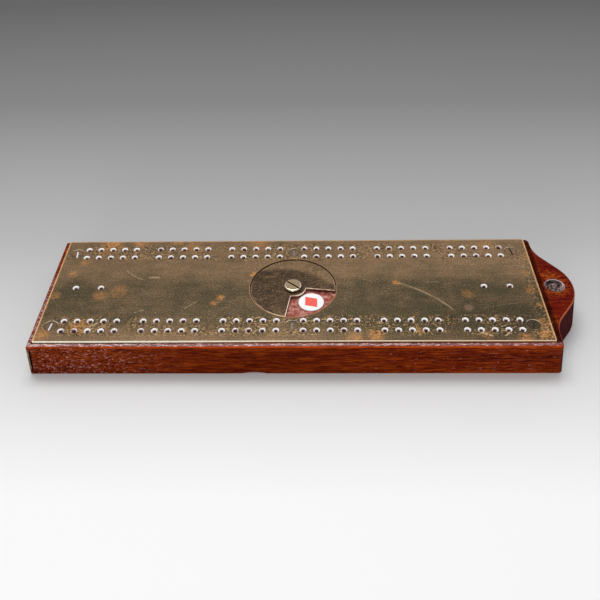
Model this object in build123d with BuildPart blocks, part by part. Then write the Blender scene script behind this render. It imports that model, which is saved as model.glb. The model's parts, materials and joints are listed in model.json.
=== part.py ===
from build123d import *
from math import cos, sin, radians, tan
import os

# Cribbage box: a mahogany block with a hanging lobe, a brass playing plate with a
# turning trump disc, and a drawer for the pegs that pulls out of the left-hand end.
# Millimetres. Origin on the underside, below the pivot of the disc. +X runs to the
# lobe, +Y to the back, +Z up.

# ---------------------------------------------------------------- driving dimensions

# trump disc and its well
disc_radius = 23.6
disc_gap = 0.5
disc_thickness = 1.0
disc_sunk = 0.45
disc_dome = 0.25
disc_arris = 0.25
window_hub_overlap = 1.0
window_width = 92.0
window_turn = -53.0
lining_thickness = 0.4
lining_gap = 0.1
roundel_radius = 6.9
roundel_thickness = 0.6
roundel_rim_gap = 2.7
roundel_turn = -46.0
disc_air = 0.35
pip_margin = 1.6
pip_depth = 0.3
pip_turn = -6.0

# pivot of the disc
pivot_head_radius = 4.8
pivot_head_height = 1.8
pivot_head_round = 0.7
pivot_shoulder_radius = 2.0
pivot_thread_radius = 1.6
pivot_thread_length = 10.0
pivot_slot_width = 0.9
pivot_slot_depth = 0.8
pivot_slot_turn = -40.0
washer_roundel_gap = 1.2
pivot_fit = 0.05

# peg holes
hole_pitch = 7.1
holes_in_group = 5
groups_in_row = 6
first_row_wall = 2.5
row_spacing = 7.3
pattern_shift = -1.2
hole_radius = 1.1
hole_mouth_radius = 1.8
hole_depth = 6.6
game_holes_apart = 2

# brass plate
plate_thickness = 1.2
plate_end_margin = 14.5
plate_side_margin = 7.7
plate_corner = 0.5
plate_arris = 0.2

# plate screws
screw_beyond_holes = 6.3
screw_head_radius = 3.5
screw_head_ring = 0.12
screw_shank_radius = 1.8
screw_length = 12.7
screw_point = 2.0
screw_tip_radius = 0.2
screw_sunk = 0.05
screw_slot_width = 0.9
screw_slot_depth = 0.7
slot_past_head = 1.0
screw_fit = 0.04

# wooden block, board and lobe
wood_height = 20.4
board_thickness = 2.6
wood_margin_front = 2.9
wood_margin_back = 1.6
wood_margin_left = 2.8
wood_margin_right = 3.5
end_slope = 6.8
drawer_end_slope = 4.3
lobe_reach = 16.0
lobe_nose_radius = 25.5
lobe_flank_angle = 36.5
lobe_root_fillet = 20.0
lobe_shift = 1.5
corner_right = 2.6
corner_left = 0.8
top_arris = 1.4
bottom_arris = 0.4
hang_radius = 5.1
hang_back_from_nose = 10.3
hang_arris = 0.4
chip_place = -20.0
chip_length = 15.0
chip_depth = 1.0

# board screws
board_screw_head = 2.4
board_screw_shank = 1.1
board_screw_length = 8.5
board_screws_in_row = 4
board_screw_inset = 29.0

# drawer
rim_thickness = 3.0
rebate_depth = 2.1
face_thickness = 0.95
face_edge_gap = 0.2
face_sunk = 0.1
channel_screw_wall = 3.15
channel_roof_wall = 1.45
channel_pivot_wall = 28.4
slide_gap = 0.3
drawer_back_gap = 1.0
drawer_front_thickness = 5.0
drawer_side_thickness = 2.5
drawer_lap = 1.6
drawer_bottom_thickness = 1.8
divider_thickness = 1.6
divider_below_rim = 0.8
face_screw_head = 1.9
face_screw_shank = 0.9
face_screw_length = 4.4
face_slot_width = 0.55
face_slot_depth = 0.4
face_screw_spacing = 30.0

# pegs
peg_length = 38.0
peg_fit = 0.12
peg_shank_length = 9.0
peg_collar_radius = 2.1
peg_head_radius = 2.4
peg_spacing = 7.0
peg_floor_gap = 0.05
peg_end_gap = 3.0

# ------------------------------------------------------------------- worked-out sizes

plate_top = wood_height + plate_thickness
opening_radius = disc_radius + disc_gap
first_row = opening_radius + first_row_wall
second_row = first_row + row_spacing
pitches_in_group = holes_in_group + 1
pitches_in_row = groups_in_row * pitches_in_group - 2
row_half = pitches_in_row * hole_pitch / 2
plate_length = 2 * (row_half + plate_end_margin)
plate_width = 2 * (second_row + plate_side_margin)

block_front = -plate_width / 2 - wood_margin_front
block_back = plate_width / 2 + wood_margin_back
block_width = block_back - block_front
block_left = -plate_length / 2 - wood_margin_left
block_right = plate_length / 2 + wood_margin_right
nose_x = block_right + lobe_reach
hang_x = nose_x - hang_back_from_nose

disc_rim_top = plate_top - disc_sunk
disc_rim_bottom = disc_rim_top - disc_thickness
disc_hub_top = disc_rim_top + disc_dome
disc_hub_bottom = disc_hub_top - disc_thickness
roundel_top = disc_rim_bottom - disc_air
lining_top = roundel_top - roundel_thickness
well_floor = lining_top - lining_thickness
roundel_place = opening_radius - roundel_rim_gap - roundel_radius
pip_height = 2 * (roundel_radius - pip_margin)
washer_radius = roundel_place - roundel_radius - washer_roundel_gap
window_hub_radius = washer_radius + window_hub_overlap

screw_y = (first_row + second_row) / 2
screw_end_x = row_half + screw_beyond_holes
plate_screw_places = [
    (pattern_shift - screw_end_x, -screw_y, 84.0),
    (pattern_shift - screw_end_x, screw_y, 97.0),
    (0.0, -screw_y, 88.0),
    (0.0, screw_y, 93.0),
    (pattern_shift + screw_end_x, -screw_y, 78.0),
    (pattern_shift + screw_end_x, screw_y, 101.0),
]

hole_floor = plate_top - hole_depth
channel_half_width = screw_y - screw_shank_radius - channel_screw_wall
channel_roof = hole_floor - channel_roof_wall
channel_back = -channel_pivot_wall - pivot_thread_radius
rim_bottom = wood_height - rim_thickness

face_back = face_sunk + face_thickness
face_bottom = board_thickness + face_edge_gap
face_top = rim_bottom - face_edge_gap
drawer_half_width = channel_half_width - slide_gap
drawer_bottom_z = board_thickness + slide_gap
drawer_floor = drawer_bottom_z + drawer_bottom_thickness
drawer_rim = channel_roof - slide_gap
drawer_end = channel_back - drawer_back_gap
front_inner = block_left + face_back + drawer_front_thickness
back_inner = drawer_end - drawer_side_thickness

board_screw_y = (channel_half_width + plate_width / 2) / 2
face_screw_z = (drawer_bottom_z + drawer_rim) / 2

print("length along the top", nose_x - block_left, "width", block_width)
print("height over the plate", plate_top, "drawer length", drawer_end - block_left)

os.makedirs("parts", exist_ok=True)


# ---------------------------------------------------------------------------- helpers

def peg_hole_places():
    """Centres of the holes: two double rows in groups, and two game holes at each end."""
    places = []
    for row in (-second_row, -first_row, first_row, second_row):
        for group in range(groups_in_row):
            for step in range(holes_in_group):
                column = group * pitches_in_group + step
                places.append((pattern_shift - row_half + column * hole_pitch, row))
    for end in (-1, 1):
        for steps_in in (0, game_holes_apart):
            places.append((pattern_shift + end * (row_half - steps_in * hole_pitch), 0.0))
    return places


def board_screw_places():
    """Centres of the board's screws, in one line along each long side."""
    first = block_left + board_screw_inset
    span = block_right - board_screw_inset - first
    steps = [index / (board_screws_in_row - 1) for index in range(board_screws_in_row)]
    return [(first + step * span, side * board_screw_y) for step in steps for side in (-1, 1)]


def at_drawer_end(depth, height):
    """Point in X and Z, a depth in from the drawer's end of the box, which leans outwards."""
    lean = (wood_height - height) * tan(radians(drawer_end_slope))
    return (block_left - lean + depth, height)


def prism_across(outline, sides, mode=Mode.ADD):
    """Prism with an outline in X and Z, between two places along Y."""
    with BuildSketch(Plane.XZ.offset(-sides[1])) as profile:
        Polygon(*outline, align=None)
    extrude(profile.sketch, amount=sides[1] - sides[0], dir=(0, -1, 0), mode=mode)


def face_screw_place(side):
    """Place of a screw of the drawer's face plate, square to the leaning plate."""
    x, z = at_drawer_end(face_sunk, face_screw_z)
    return Location((x, side * face_screw_spacing / 2, z), (0, drawer_end_slope - 90, 0))


def at_height(places, height):
    """The same places, lifted to one height."""
    return [(x, y, height) for x, y in places]


def roundel_plane(turn, height):
    """Plane on a roundel, its centre out along the turn and its Y axis along the pip."""
    pip_way = radians(turn + pip_turn)
    return Plane(
        origin=(roundel_place * cos(radians(turn)), roundel_place * sin(radians(turn)), height),
        x_dir=(sin(pip_way), -cos(pip_way), 0),
        z_dir=(0, 0, 1),
    )


def export(piece, name):
    """Label a finished piece and write it to its own file."""
    piece.label = name
    export_step(piece, f"parts/{name}.step")


# --------------------------------------------------------------------- shared outlines

# right-hand end of the wood from above, the lobe standing out of it; it is cut wider and
# longer than the block, whose straight sides are trimmed afterwards
flank = radians(lobe_flank_angle)
nose_centre = nose_x - lobe_nose_radius
tangent_x = nose_centre + lobe_nose_radius * cos(flank)
tangent_y = lobe_nose_radius * sin(flank)
root_y = tangent_y + (tangent_x - block_right) / tan(flank)
with BuildSketch() as end_outline:
    with BuildLine():
        Polyline(
            (tangent_x, lobe_shift + tangent_y),
            (block_right, lobe_shift + root_y),
            (block_right, block_back + wood_height),
            (block_left - wood_height, block_back + wood_height),
            (block_left - wood_height, block_front - wood_height),
            (block_right, block_front - wood_height),
            (block_right, lobe_shift - root_y),
            (tangent_x, lobe_shift - tangent_y),
        )
        ThreePointArc(
            (tangent_x, lobe_shift - tangent_y),
            (nose_x, lobe_shift),
            (tangent_x, lobe_shift + tangent_y),
        )
    make_face()
    at_end = end_outline.vertices().group_by(Axis.X)[1].sort_by(Axis.Y)
    fillet(at_end[1:3], radius=lobe_root_fillet)

# whole block of wood, both of its ends sloping, trimmed to straight sides
with BuildPart() as wood:
    with BuildSketch(Plane.XY.offset(wood_height)):
        add(end_outline.sketch)
    extrude(amount=-wood_height, taper=-end_slope)
    beyond_nose = nose_x + wood_height
    prism_across(
        [
            at_drawer_end(0, wood_height),
            at_drawer_end(0, 0),
            (beyond_nose, 0),
            (beyond_nose, wood_height),
        ],
        (block_front, block_back),
        mode=Mode.INTERSECT,
    )
    for end, radius in ((block_left, corner_left), (block_right, corner_right)):
        corners = [
            wood.edges().sort_by_distance((end, side, wood_height / 2))[0]
            for side in (block_front, block_back)
        ]
        fillet(corners, radius=radius)


# the four suit figures, each drawn upright in a space as high as the pip
with BuildSketch() as diamond_shape:
    Polygon(
        (0, pip_height * 0.5),
        (-pip_height * 0.4, 0),
        (0, -pip_height * 0.5),
        (pip_height * 0.4, 0),
        align=None,
    )

with BuildSketch() as heart_shape:
    with BuildLine():
        point = (0, -pip_height * 0.46)
        dip = (0, pip_height * 0.22)
        cheek = (pip_height * 0.42, pip_height * 0.16)
        ThreePointArc(dip, (pip_height * 0.25, pip_height * 0.40), cheek)
        ThreePointArc(cheek, (pip_height * 0.27, -pip_height * 0.16), point)
        mirror(about=Plane.YZ)
    make_face()

with BuildSketch() as stem_shape:
    with BuildLine():
        Polyline(
            (-pip_height * 0.16, -pip_height * 0.46),
            (pip_height * 0.16, -pip_height * 0.46),
            (pip_height * 0.03, -pip_height * 0.20),
            (pip_height * 0.03, pip_height * 0.05),
            (-pip_height * 0.03, pip_height * 0.05),
            (-pip_height * 0.03, -pip_height * 0.20),
            close=True,
        )
    make_face()

with BuildSketch() as spade_shape:
    with BuildLine():
        tip = (0, pip_height * 0.48)
        shoulder = (pip_height * 0.40, -pip_height * 0.12)
        notch = (0, -pip_height * 0.14)
        ThreePointArc(tip, (pip_height * 0.25, pip_height * 0.16), shoulder)
        ThreePointArc(shoulder, (pip_height * 0.22, -pip_height * 0.31), notch)
        mirror(about=Plane.YZ)
    make_face()
    add(stem_shape.sketch)

with BuildSketch() as club_shape:
    with Locations(
        (0, pip_height * 0.26),
        (pip_height * 0.20, -pip_height * 0.06),
        (-pip_height * 0.20, -pip_height * 0.06),
    ):
        Circle(pip_height * 0.20)
    with Locations((0, pip_height * 0.02)):
        Circle(pip_height * 0.12)
    add(stem_shape.sketch)

suits = [
    ("diamond", roundel_turn, diamond_shape),
    ("spade", roundel_turn + 90, spade_shape),
    ("heart", roundel_turn + 180, heart_shape),
    ("club", roundel_turn + 270, club_shape),
]


# ------------------------------------------------------------------------ wooden parts

with BuildPart() as case:
    add(wood.part)
    split(bisect_by=Plane.XY.offset(board_thickness), keep=Keep.TOP)
    fillet(case.edges().group_by(Axis.Z)[-1], radius=top_arris)
    # rebate at the left-hand end, under a thin rim, for the drawer's face plate
    prism_across(
        [
            at_drawer_end(-rebate_depth, board_thickness),
            at_drawer_end(rebate_depth, board_thickness),
            at_drawer_end(rebate_depth, rim_bottom),
            at_drawer_end(-rebate_depth, rim_bottom),
        ],
        (block_front - rebate_depth, block_back + rebate_depth),
        mode=Mode.SUBTRACT,
    )
    # channel for the drawer, worked from below and closed by the bottom board
    with Locations((channel_back, 0, board_thickness)):
        Box(
            channel_back - block_left,
            2 * channel_half_width,
            channel_roof - board_thickness,
            align=(Align.MAX, Align.CENTER, Align.MIN),
            mode=Mode.SUBTRACT,
        )
    # well of the trump disc, and the pilot hole of its pivot
    with Locations((0, 0, wood_height)):
        Hole(radius=opening_radius, depth=wood_height - well_floor)
    with Locations((0, 0, well_floor)):
        Hole(radius=pivot_thread_radius + screw_fit, depth=pivot_thread_length)
    # peg holes, drilled on from the plate
    with Locations(*at_height(peg_hole_places(), wood_height)):
        Hole(radius=hole_radius, depth=wood_height - hole_floor)
    # seats and pilot holes of the plate screws
    with Locations(*[(x, y, plate_top) for x, y, turn in plate_screw_places]):
        CounterSinkHole(
            radius=screw_shank_radius + screw_fit,
            counter_sink_radius=screw_head_radius + screw_head_ring,
            depth=screw_length,
            counter_sink_angle=90,
        )
    # pilot holes of the board screws, from below
    with Locations(*at_height(board_screw_places(), board_thickness)):
        Cylinder(
            radius=board_screw_shank + screw_fit,
            height=board_screw_length - board_thickness,
            align=(Align.CENTER, Align.CENTER, Align.MIN),
            mode=Mode.SUBTRACT,
        )
    # hanging hole through the lobe
    with Locations((hang_x, lobe_shift, wood_height)):
        CounterSinkHole(
            radius=hang_radius,
            counter_sink_radius=hang_radius + hang_arris,
            depth=wood_height,
            counter_sink_angle=90,
        )
export(case.part, "case")


with BuildPart() as bottom_board:
    add(wood.part)
    split(bisect_by=Plane.XY.offset(board_thickness), keep=Keep.BOTTOM)
    fillet(bottom_board.edges().group_by(Axis.Z)[0], radius=bottom_arris)
    with Locations((hang_x, lobe_shift, board_thickness)):
        Hole(radius=hang_radius, depth=board_thickness)
    with Locations(*[Location((x, y, 0), (180, 0, 0)) for x, y in board_screw_places()]):
        CounterSinkHole(
            radius=board_screw_shank + screw_fit,
            counter_sink_radius=board_screw_head + screw_fit,
            depth=board_thickness,
            counter_sink_angle=90,
        )
    # worn chip in the lower front edge, a shallow scoop across the corner
    scoop_radius = (chip_length ** 2 / 4 + chip_depth ** 2) / (2 * chip_depth)
    scoop_away = (scoop_radius - chip_depth) / 2 ** 0.5
    with Locations((chip_place, block_front - scoop_away, -scoop_away)):
        Sphere(radius=scoop_radius, mode=Mode.SUBTRACT)
export(bottom_board.part, "bottom_board")


with BuildPart() as bottom_board_screws:
    for x, y in board_screw_places():
        with Locations((x, y, 0)):
            Cone(
                bottom_radius=board_screw_head,
                top_radius=board_screw_shank,
                height=board_screw_head - board_screw_shank,
                align=(Align.CENTER, Align.CENTER, Align.MIN),
            )
            Cylinder(
                radius=board_screw_shank,
                height=board_screw_length,
                align=(Align.CENTER, Align.CENTER, Align.MIN),
            )
            Box(
                2 * board_screw_head,
                screw_slot_width,
                screw_slot_depth,
                align=(Align.CENTER, Align.CENTER, Align.MIN),
                mode=Mode.SUBTRACT,
            )
export(bottom_board_screws.part, "bottom_board_screws")


# ---------------------------------------------------------------------- brass top plate

with BuildPart() as top_plate:
    with BuildSketch(Plane.XY.offset(wood_height)):
        RectangleRounded(plate_length, plate_width, plate_corner)
    extrude(amount=plate_thickness)
    fillet(top_plate.edges().group_by(Axis.Z)[-1], radius=plate_arris)
    with Locations((0, 0, plate_top)):
        Hole(radius=opening_radius)
    with Locations(*at_height(peg_hole_places(), plate_top)):
        CounterSinkHole(
            radius=hole_radius,
            counter_sink_radius=hole_mouth_radius,
            counter_sink_angle=90,
        )
    with Locations(*[(x, y, plate_top) for x, y, turn in plate_screw_places]):
        CounterSinkHole(
            radius=screw_shank_radius + screw_fit,
            counter_sink_radius=screw_head_radius + screw_head_ring,
            depth=screw_length,
            counter_sink_angle=90,
        )
export(top_plate.part, "top_plate")


with BuildPart() as plate_screws:
    for x, y, turn in plate_screw_places:
        head_top = plate_top - screw_sunk
        head_radius = screw_head_radius - screw_sunk
        shank_length = screw_length - screw_point
        with Locations(Location((x, y, head_top), (0, 0, turn))):
            Cone(
                bottom_radius=screw_shank_radius,
                top_radius=head_radius,
                height=head_radius - screw_shank_radius,
                align=(Align.CENTER, Align.CENTER, Align.MAX),
            )
            Cylinder(
                radius=screw_shank_radius,
                height=shank_length,
                align=(Align.CENTER, Align.CENTER, Align.MAX),
            )
            Box(
                2 * (screw_head_radius + slot_past_head),
                screw_slot_width,
                screw_slot_depth,
                align=(Align.CENTER, Align.CENTER, Align.MAX),
                mode=Mode.SUBTRACT,
            )
        with Locations((x, y, head_top - shank_length)):
            Cone(
                bottom_radius=screw_tip_radius,
                top_radius=screw_shank_radius,
                height=screw_point - screw_sunk,
                align=(Align.CENTER, Align.CENTER, Align.MAX),
            )
export(plate_screws.part, "plate_screws")


# -------------------------------------------------------------- trump disc and its well

with BuildPart() as dial_lining:
    with BuildSketch(Plane.XY.offset(well_floor)):
        Circle(opening_radius - lining_gap)
        Circle(pivot_shoulder_radius + pivot_fit, mode=Mode.SUBTRACT)
    extrude(amount=lining_thickness)
export(dial_lining.part, "dial_lining")


for suit, turn, shape in suits:
    with BuildPart() as roundel:
        with BuildSketch(roundel_plane(turn, lining_top)):
            Circle(roundel_radius)
        extrude(amount=roundel_thickness)
        with BuildSketch(roundel_plane(turn, roundel_top)):
            add(shape.sketch)
        extrude(amount=-pip_depth, mode=Mode.SUBTRACT)
    export(roundel.part, f"roundel_{suit}")

    with BuildPart() as pip:
        with BuildSketch(roundel_plane(turn, roundel_top - pip_depth)):
            add(shape.sketch)
        extrude(amount=pip_depth)
    export(pip.part, f"pip_{suit}")


with BuildPart() as pivot_washer:
    with BuildSketch(Plane.XY.offset(lining_top)):
        Circle(washer_radius)
        Circle(pivot_shoulder_radius + pivot_fit, mode=Mode.SUBTRACT)
    extrude(amount=disc_hub_bottom - pivot_fit - lining_top)
export(pivot_washer.part, "pivot_washer")


with BuildPart() as trump_disc:
    # flat hub, then a shallow dome that falls to the rim
    hub_flat = washer_radius + disc_air
    dome_edge = disc_radius - disc_arris
    half_way = (hub_flat + dome_edge) / 2
    half_fall = disc_dome / 4
    arris_middle = disc_arris * (1 - cos(radians(45)))
    with BuildSketch(Plane.XZ):
        with BuildLine():
            Polyline(
                (hub_flat, disc_hub_bottom),
                (pivot_shoulder_radius + pivot_fit, disc_hub_bottom),
                (pivot_shoulder_radius + pivot_fit, disc_hub_top),
                (hub_flat, disc_hub_top),
            )
            ThreePointArc(
                (hub_flat, disc_hub_top),
                (half_way, disc_hub_top - half_fall),
                (dome_edge, disc_rim_top),
            )
            ThreePointArc(
                (dome_edge, disc_rim_top),
                (disc_radius - arris_middle, disc_rim_top - arris_middle),
                (disc_radius, disc_rim_top - disc_arris),
            )
            Line((disc_radius, disc_rim_top - disc_arris), (disc_radius, disc_rim_bottom))
            Line((disc_radius, disc_rim_bottom), (dome_edge, disc_rim_bottom))
            ThreePointArc(
                (dome_edge, disc_rim_bottom),
                (half_way, disc_hub_bottom - half_fall),
                (hub_flat, disc_hub_bottom),
            )
        make_face()
    revolve(axis=Axis.Z)
    # quarter-turn window, open at the rim
    with BuildSketch(Plane.XY.offset(disc_rim_bottom - disc_thickness)):
        with BuildLine():
            first = window_turn - window_width / 2
            last = window_turn + window_width / 2
            beyond = 1.5 * disc_radius
            inner = CenterArc((0, 0), window_hub_radius, first, window_width)
            outer = CenterArc((0, 0), beyond, first, window_width)
            Line(inner @ 0, outer @ 0)
            Line(inner @ 1, outer @ 1)
        make_face()
    extrude(amount=4 * disc_thickness, mode=Mode.SUBTRACT)
export(trump_disc.part, "trump_disc")


with BuildPart() as pivot_screw:
    head_bottom = disc_hub_top + pivot_fit
    with Locations((0, 0, head_bottom)):
        Cylinder(
            radius=pivot_head_radius,
            height=pivot_head_height,
            align=(Align.CENTER, Align.CENTER, Align.MIN),
        )
    fillet(pivot_screw.edges().group_by(Axis.Z)[-1], radius=pivot_head_round)
    with Locations((0, 0, well_floor)):
        Cylinder(
            radius=pivot_shoulder_radius,
            height=head_bottom - well_floor,
            align=(Align.CENTER, Align.CENTER, Align.MIN),
        )
        Cylinder(
            radius=pivot_thread_radius,
            height=pivot_thread_length,
            align=(Align.CENTER, Align.CENTER, Align.MAX),
        )
    with Locations(Location((0, 0, head_bottom + pivot_head_height), (0, 0, pivot_slot_turn))):
        Box(
            2 * (pivot_head_radius + slot_past_head),
            pivot_slot_width,
            pivot_slot_depth,
            align=(Align.CENTER, Align.CENTER, Align.MAX),
            mode=Mode.SUBTRACT,
        )
export(pivot_screw.part, "pivot_screw")


# ------------------------------------------------------------------------------ drawer

def block_between(low, high, mode=Mode.ADD):
    """Box between two opposite corners."""
    size = [high[axis] - low[axis] for axis in range(3)]
    with Locations(tuple(low)):
        Box(*size, align=(Align.MIN, Align.MIN, Align.MIN), mode=mode)


with BuildPart() as drawer_face_plate:
    prism_across(
        [
            at_drawer_end(face_sunk, face_bottom),
            at_drawer_end(face_back, face_bottom),
            at_drawer_end(face_back, face_top),
            at_drawer_end(face_sunk, face_top),
        ],
        (block_front + face_edge_gap, block_back - face_edge_gap),
    )
    fillet(drawer_face_plate.edges().filter_by(Axis.X), radius=plate_corner)
    for side in (-1, 1):
        with Locations(face_screw_place(side)):
            CounterSinkHole(
                radius=face_screw_shank + screw_fit,
                counter_sink_radius=face_screw_head + screw_fit,
                depth=face_screw_length,
                counter_sink_angle=90,
            )
export(drawer_face_plate.part, "drawer_face_plate")


with BuildPart() as drawer_front:
    prism_across(
        [
            at_drawer_end(face_back, drawer_bottom_z),
            (front_inner, drawer_bottom_z),
            (front_inner, drawer_rim),
            at_drawer_end(face_back, drawer_rim),
        ],
        (-drawer_half_width, drawer_half_width),
    )
    # laps for the two sides
    for side in (-1, 1):
        edges = sorted((side * drawer_half_width, side * (drawer_half_width - drawer_side_thickness)))
        block_between(
            (front_inner - drawer_lap, edges[0], drawer_floor),
            (front_inner, edges[1], drawer_rim),
            mode=Mode.SUBTRACT,
        )
        with Locations(face_screw_place(side)):
            CounterSinkHole(
                radius=face_screw_shank + screw_fit,
                counter_sink_radius=face_screw_head + screw_fit,
                depth=face_screw_length,
                counter_sink_angle=90,
            )
export(drawer_front.part, "drawer_front")


for side, name in ((-1, "drawer_side_front"), (1, "drawer_side_back")):
    edges = sorted((side * drawer_half_width, side * (drawer_half_width - drawer_side_thickness)))
    with BuildPart() as drawer_side:
        block_between(
            (front_inner - drawer_lap, edges[0], drawer_floor),
            (drawer_end, edges[1], drawer_rim),
        )
    export(drawer_side.part, name)


with BuildPart() as drawer_back:
    inner_half = drawer_half_width - drawer_side_thickness
    block_between((back_inner, -inner_half, drawer_floor), (drawer_end, inner_half, drawer_rim))
export(drawer_back.part, "drawer_back")


with BuildPart() as drawer_bottom:
    block_between(
        (front_inner, -drawer_half_width, drawer_bottom_z),
        (drawer_end, drawer_half_width, drawer_floor),
    )
export(drawer_bottom.part, "drawer_bottom")


with BuildPart() as drawer_divider:
    block_between(
        (front_inner, -divider_thickness / 2, drawer_floor),
        (back_inner, divider_thickness / 2, drawer_rim - divider_below_rim),
    )
export(drawer_divider.part, "drawer_divider")


with BuildPart() as drawer_face_screws:
    for side in (-1, 1):
        with Locations(face_screw_place(side)):
            Cone(
                bottom_radius=face_screw_shank,
                top_radius=face_screw_head,
                height=face_screw_head - face_screw_shank,
                align=(Align.CENTER, Align.CENTER, Align.MAX),
            )
            Cylinder(
                radius=face_screw_shank,
                height=face_screw_length,
                align=(Align.CENTER, Align.CENTER, Align.MAX),
            )
            Box(
                face_slot_width,
                2 * (face_screw_head + slot_past_head),
                face_slot_depth,
                align=(Align.CENTER, Align.CENTER, Align.MAX),
                mode=Mode.SUBTRACT,
            )
export(drawer_face_screws.part, "drawer_face_screws")


# ---------------------------------------------------------------------- scoring pegs

peg_tip_radius = hole_radius - 2 * peg_fit
peg_neck_radius = hole_radius - peg_fit
peg_lie = drawer_floor + peg_head_radius + peg_floor_gap
peg_tip_x = back_inner - peg_end_gap - peg_length
compartment_middle = (divider_thickness / 2 + drawer_half_width - drawer_side_thickness) / 2

# half outline of a peg, lying along X: a tapered shank, a collar and a turned ball head
with BuildSketch() as peg_outline:
    with BuildLine():
        head_centre = peg_length - peg_head_radius
        head_start = head_centre - (peg_head_radius ** 2 - peg_neck_radius ** 2) ** 0.5
        Polyline(
            (0, 0),
            (0, peg_tip_radius - peg_fit),
            (peg_fit, peg_tip_radius),
            (peg_shank_length, peg_neck_radius),
            (peg_shank_length + peg_collar_radius, peg_collar_radius),
            (head_start, peg_neck_radius),
        )
        ThreePointArc(
            (head_start, peg_neck_radius),
            (head_centre, peg_head_radius),
            (peg_length, 0),
        )
        Line((peg_length, 0), (0, 0))
    make_face()

for side, name in ((-1, "pegs_light"), (1, "pegs_dark")):
    with BuildPart() as pegs:
        for offset in (-peg_spacing / 2, peg_spacing / 2):
            peg_y = side * compartment_middle + offset
            with BuildSketch(Plane(origin=(peg_tip_x, peg_y, peg_lie))):
                add(peg_outline.sketch)
            revolve(axis=Axis((peg_tip_x, peg_y, peg_lie), (1, 0, 0)))
    export(pegs.part, name)
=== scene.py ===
import json
import math

import bpy
from mathutils import Matrix, Vector


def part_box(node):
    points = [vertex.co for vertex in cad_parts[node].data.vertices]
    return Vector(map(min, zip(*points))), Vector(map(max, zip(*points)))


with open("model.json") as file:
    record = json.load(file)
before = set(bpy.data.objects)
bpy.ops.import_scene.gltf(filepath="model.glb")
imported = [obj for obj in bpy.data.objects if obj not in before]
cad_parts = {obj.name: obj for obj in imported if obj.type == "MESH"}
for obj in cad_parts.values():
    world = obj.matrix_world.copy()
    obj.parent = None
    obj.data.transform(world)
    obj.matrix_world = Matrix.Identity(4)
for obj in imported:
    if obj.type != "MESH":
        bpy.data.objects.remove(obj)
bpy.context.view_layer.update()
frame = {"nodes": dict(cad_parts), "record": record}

NODES = frame["nodes"]
MM = 0.001

# ------------------------------------------------------------------ sizes of the part

# millimetres, read from the frame so that the finishes follow the model
plate_low, plate_high = [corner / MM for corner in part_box("top_plate")]
case_low, case_high = [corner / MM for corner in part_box("case")]
disc_low, disc_high = [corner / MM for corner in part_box("trump_disc")]
pivot_high = [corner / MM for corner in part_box("pivot_screw")][1]
PLATE_TOP = plate_high.z
WOOD_TOP = case_high.z
WOOD_FRONT = case_low.y
DISC_RADIUS = disc_high.x
hanging_hole = next(mount for mount in frame["record"]["mounts"] if mount["name"] == "hanging_hole")
hang_x, hang_y = [place / MM for place in hanging_hole["pos_m"][:2]]
HANG_RADIUS = hanging_hole["dims"]["r_mm"]

# millimetres and degrees, as the part was drawn
SCREW_RADIUS = 3.5
SCREW_COLUMNS = (-128.2, 0.0, 125.8)
SCREW_ROW = 30.25
SCREW_PLACES = [(column, side * SCREW_ROW) for column in SCREW_COLUMNS for side in (-1, 1)]
WINDOW_MIDDLE = -53.0
WINDOW_WIDTH = 92.0
WINDOW_HUB = 7.4
# how far the rows of peg holes lie from the middle line
ROW_SPAN = (24.0, 37.0)


# -------------------------------------------------------------------- shader building

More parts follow.
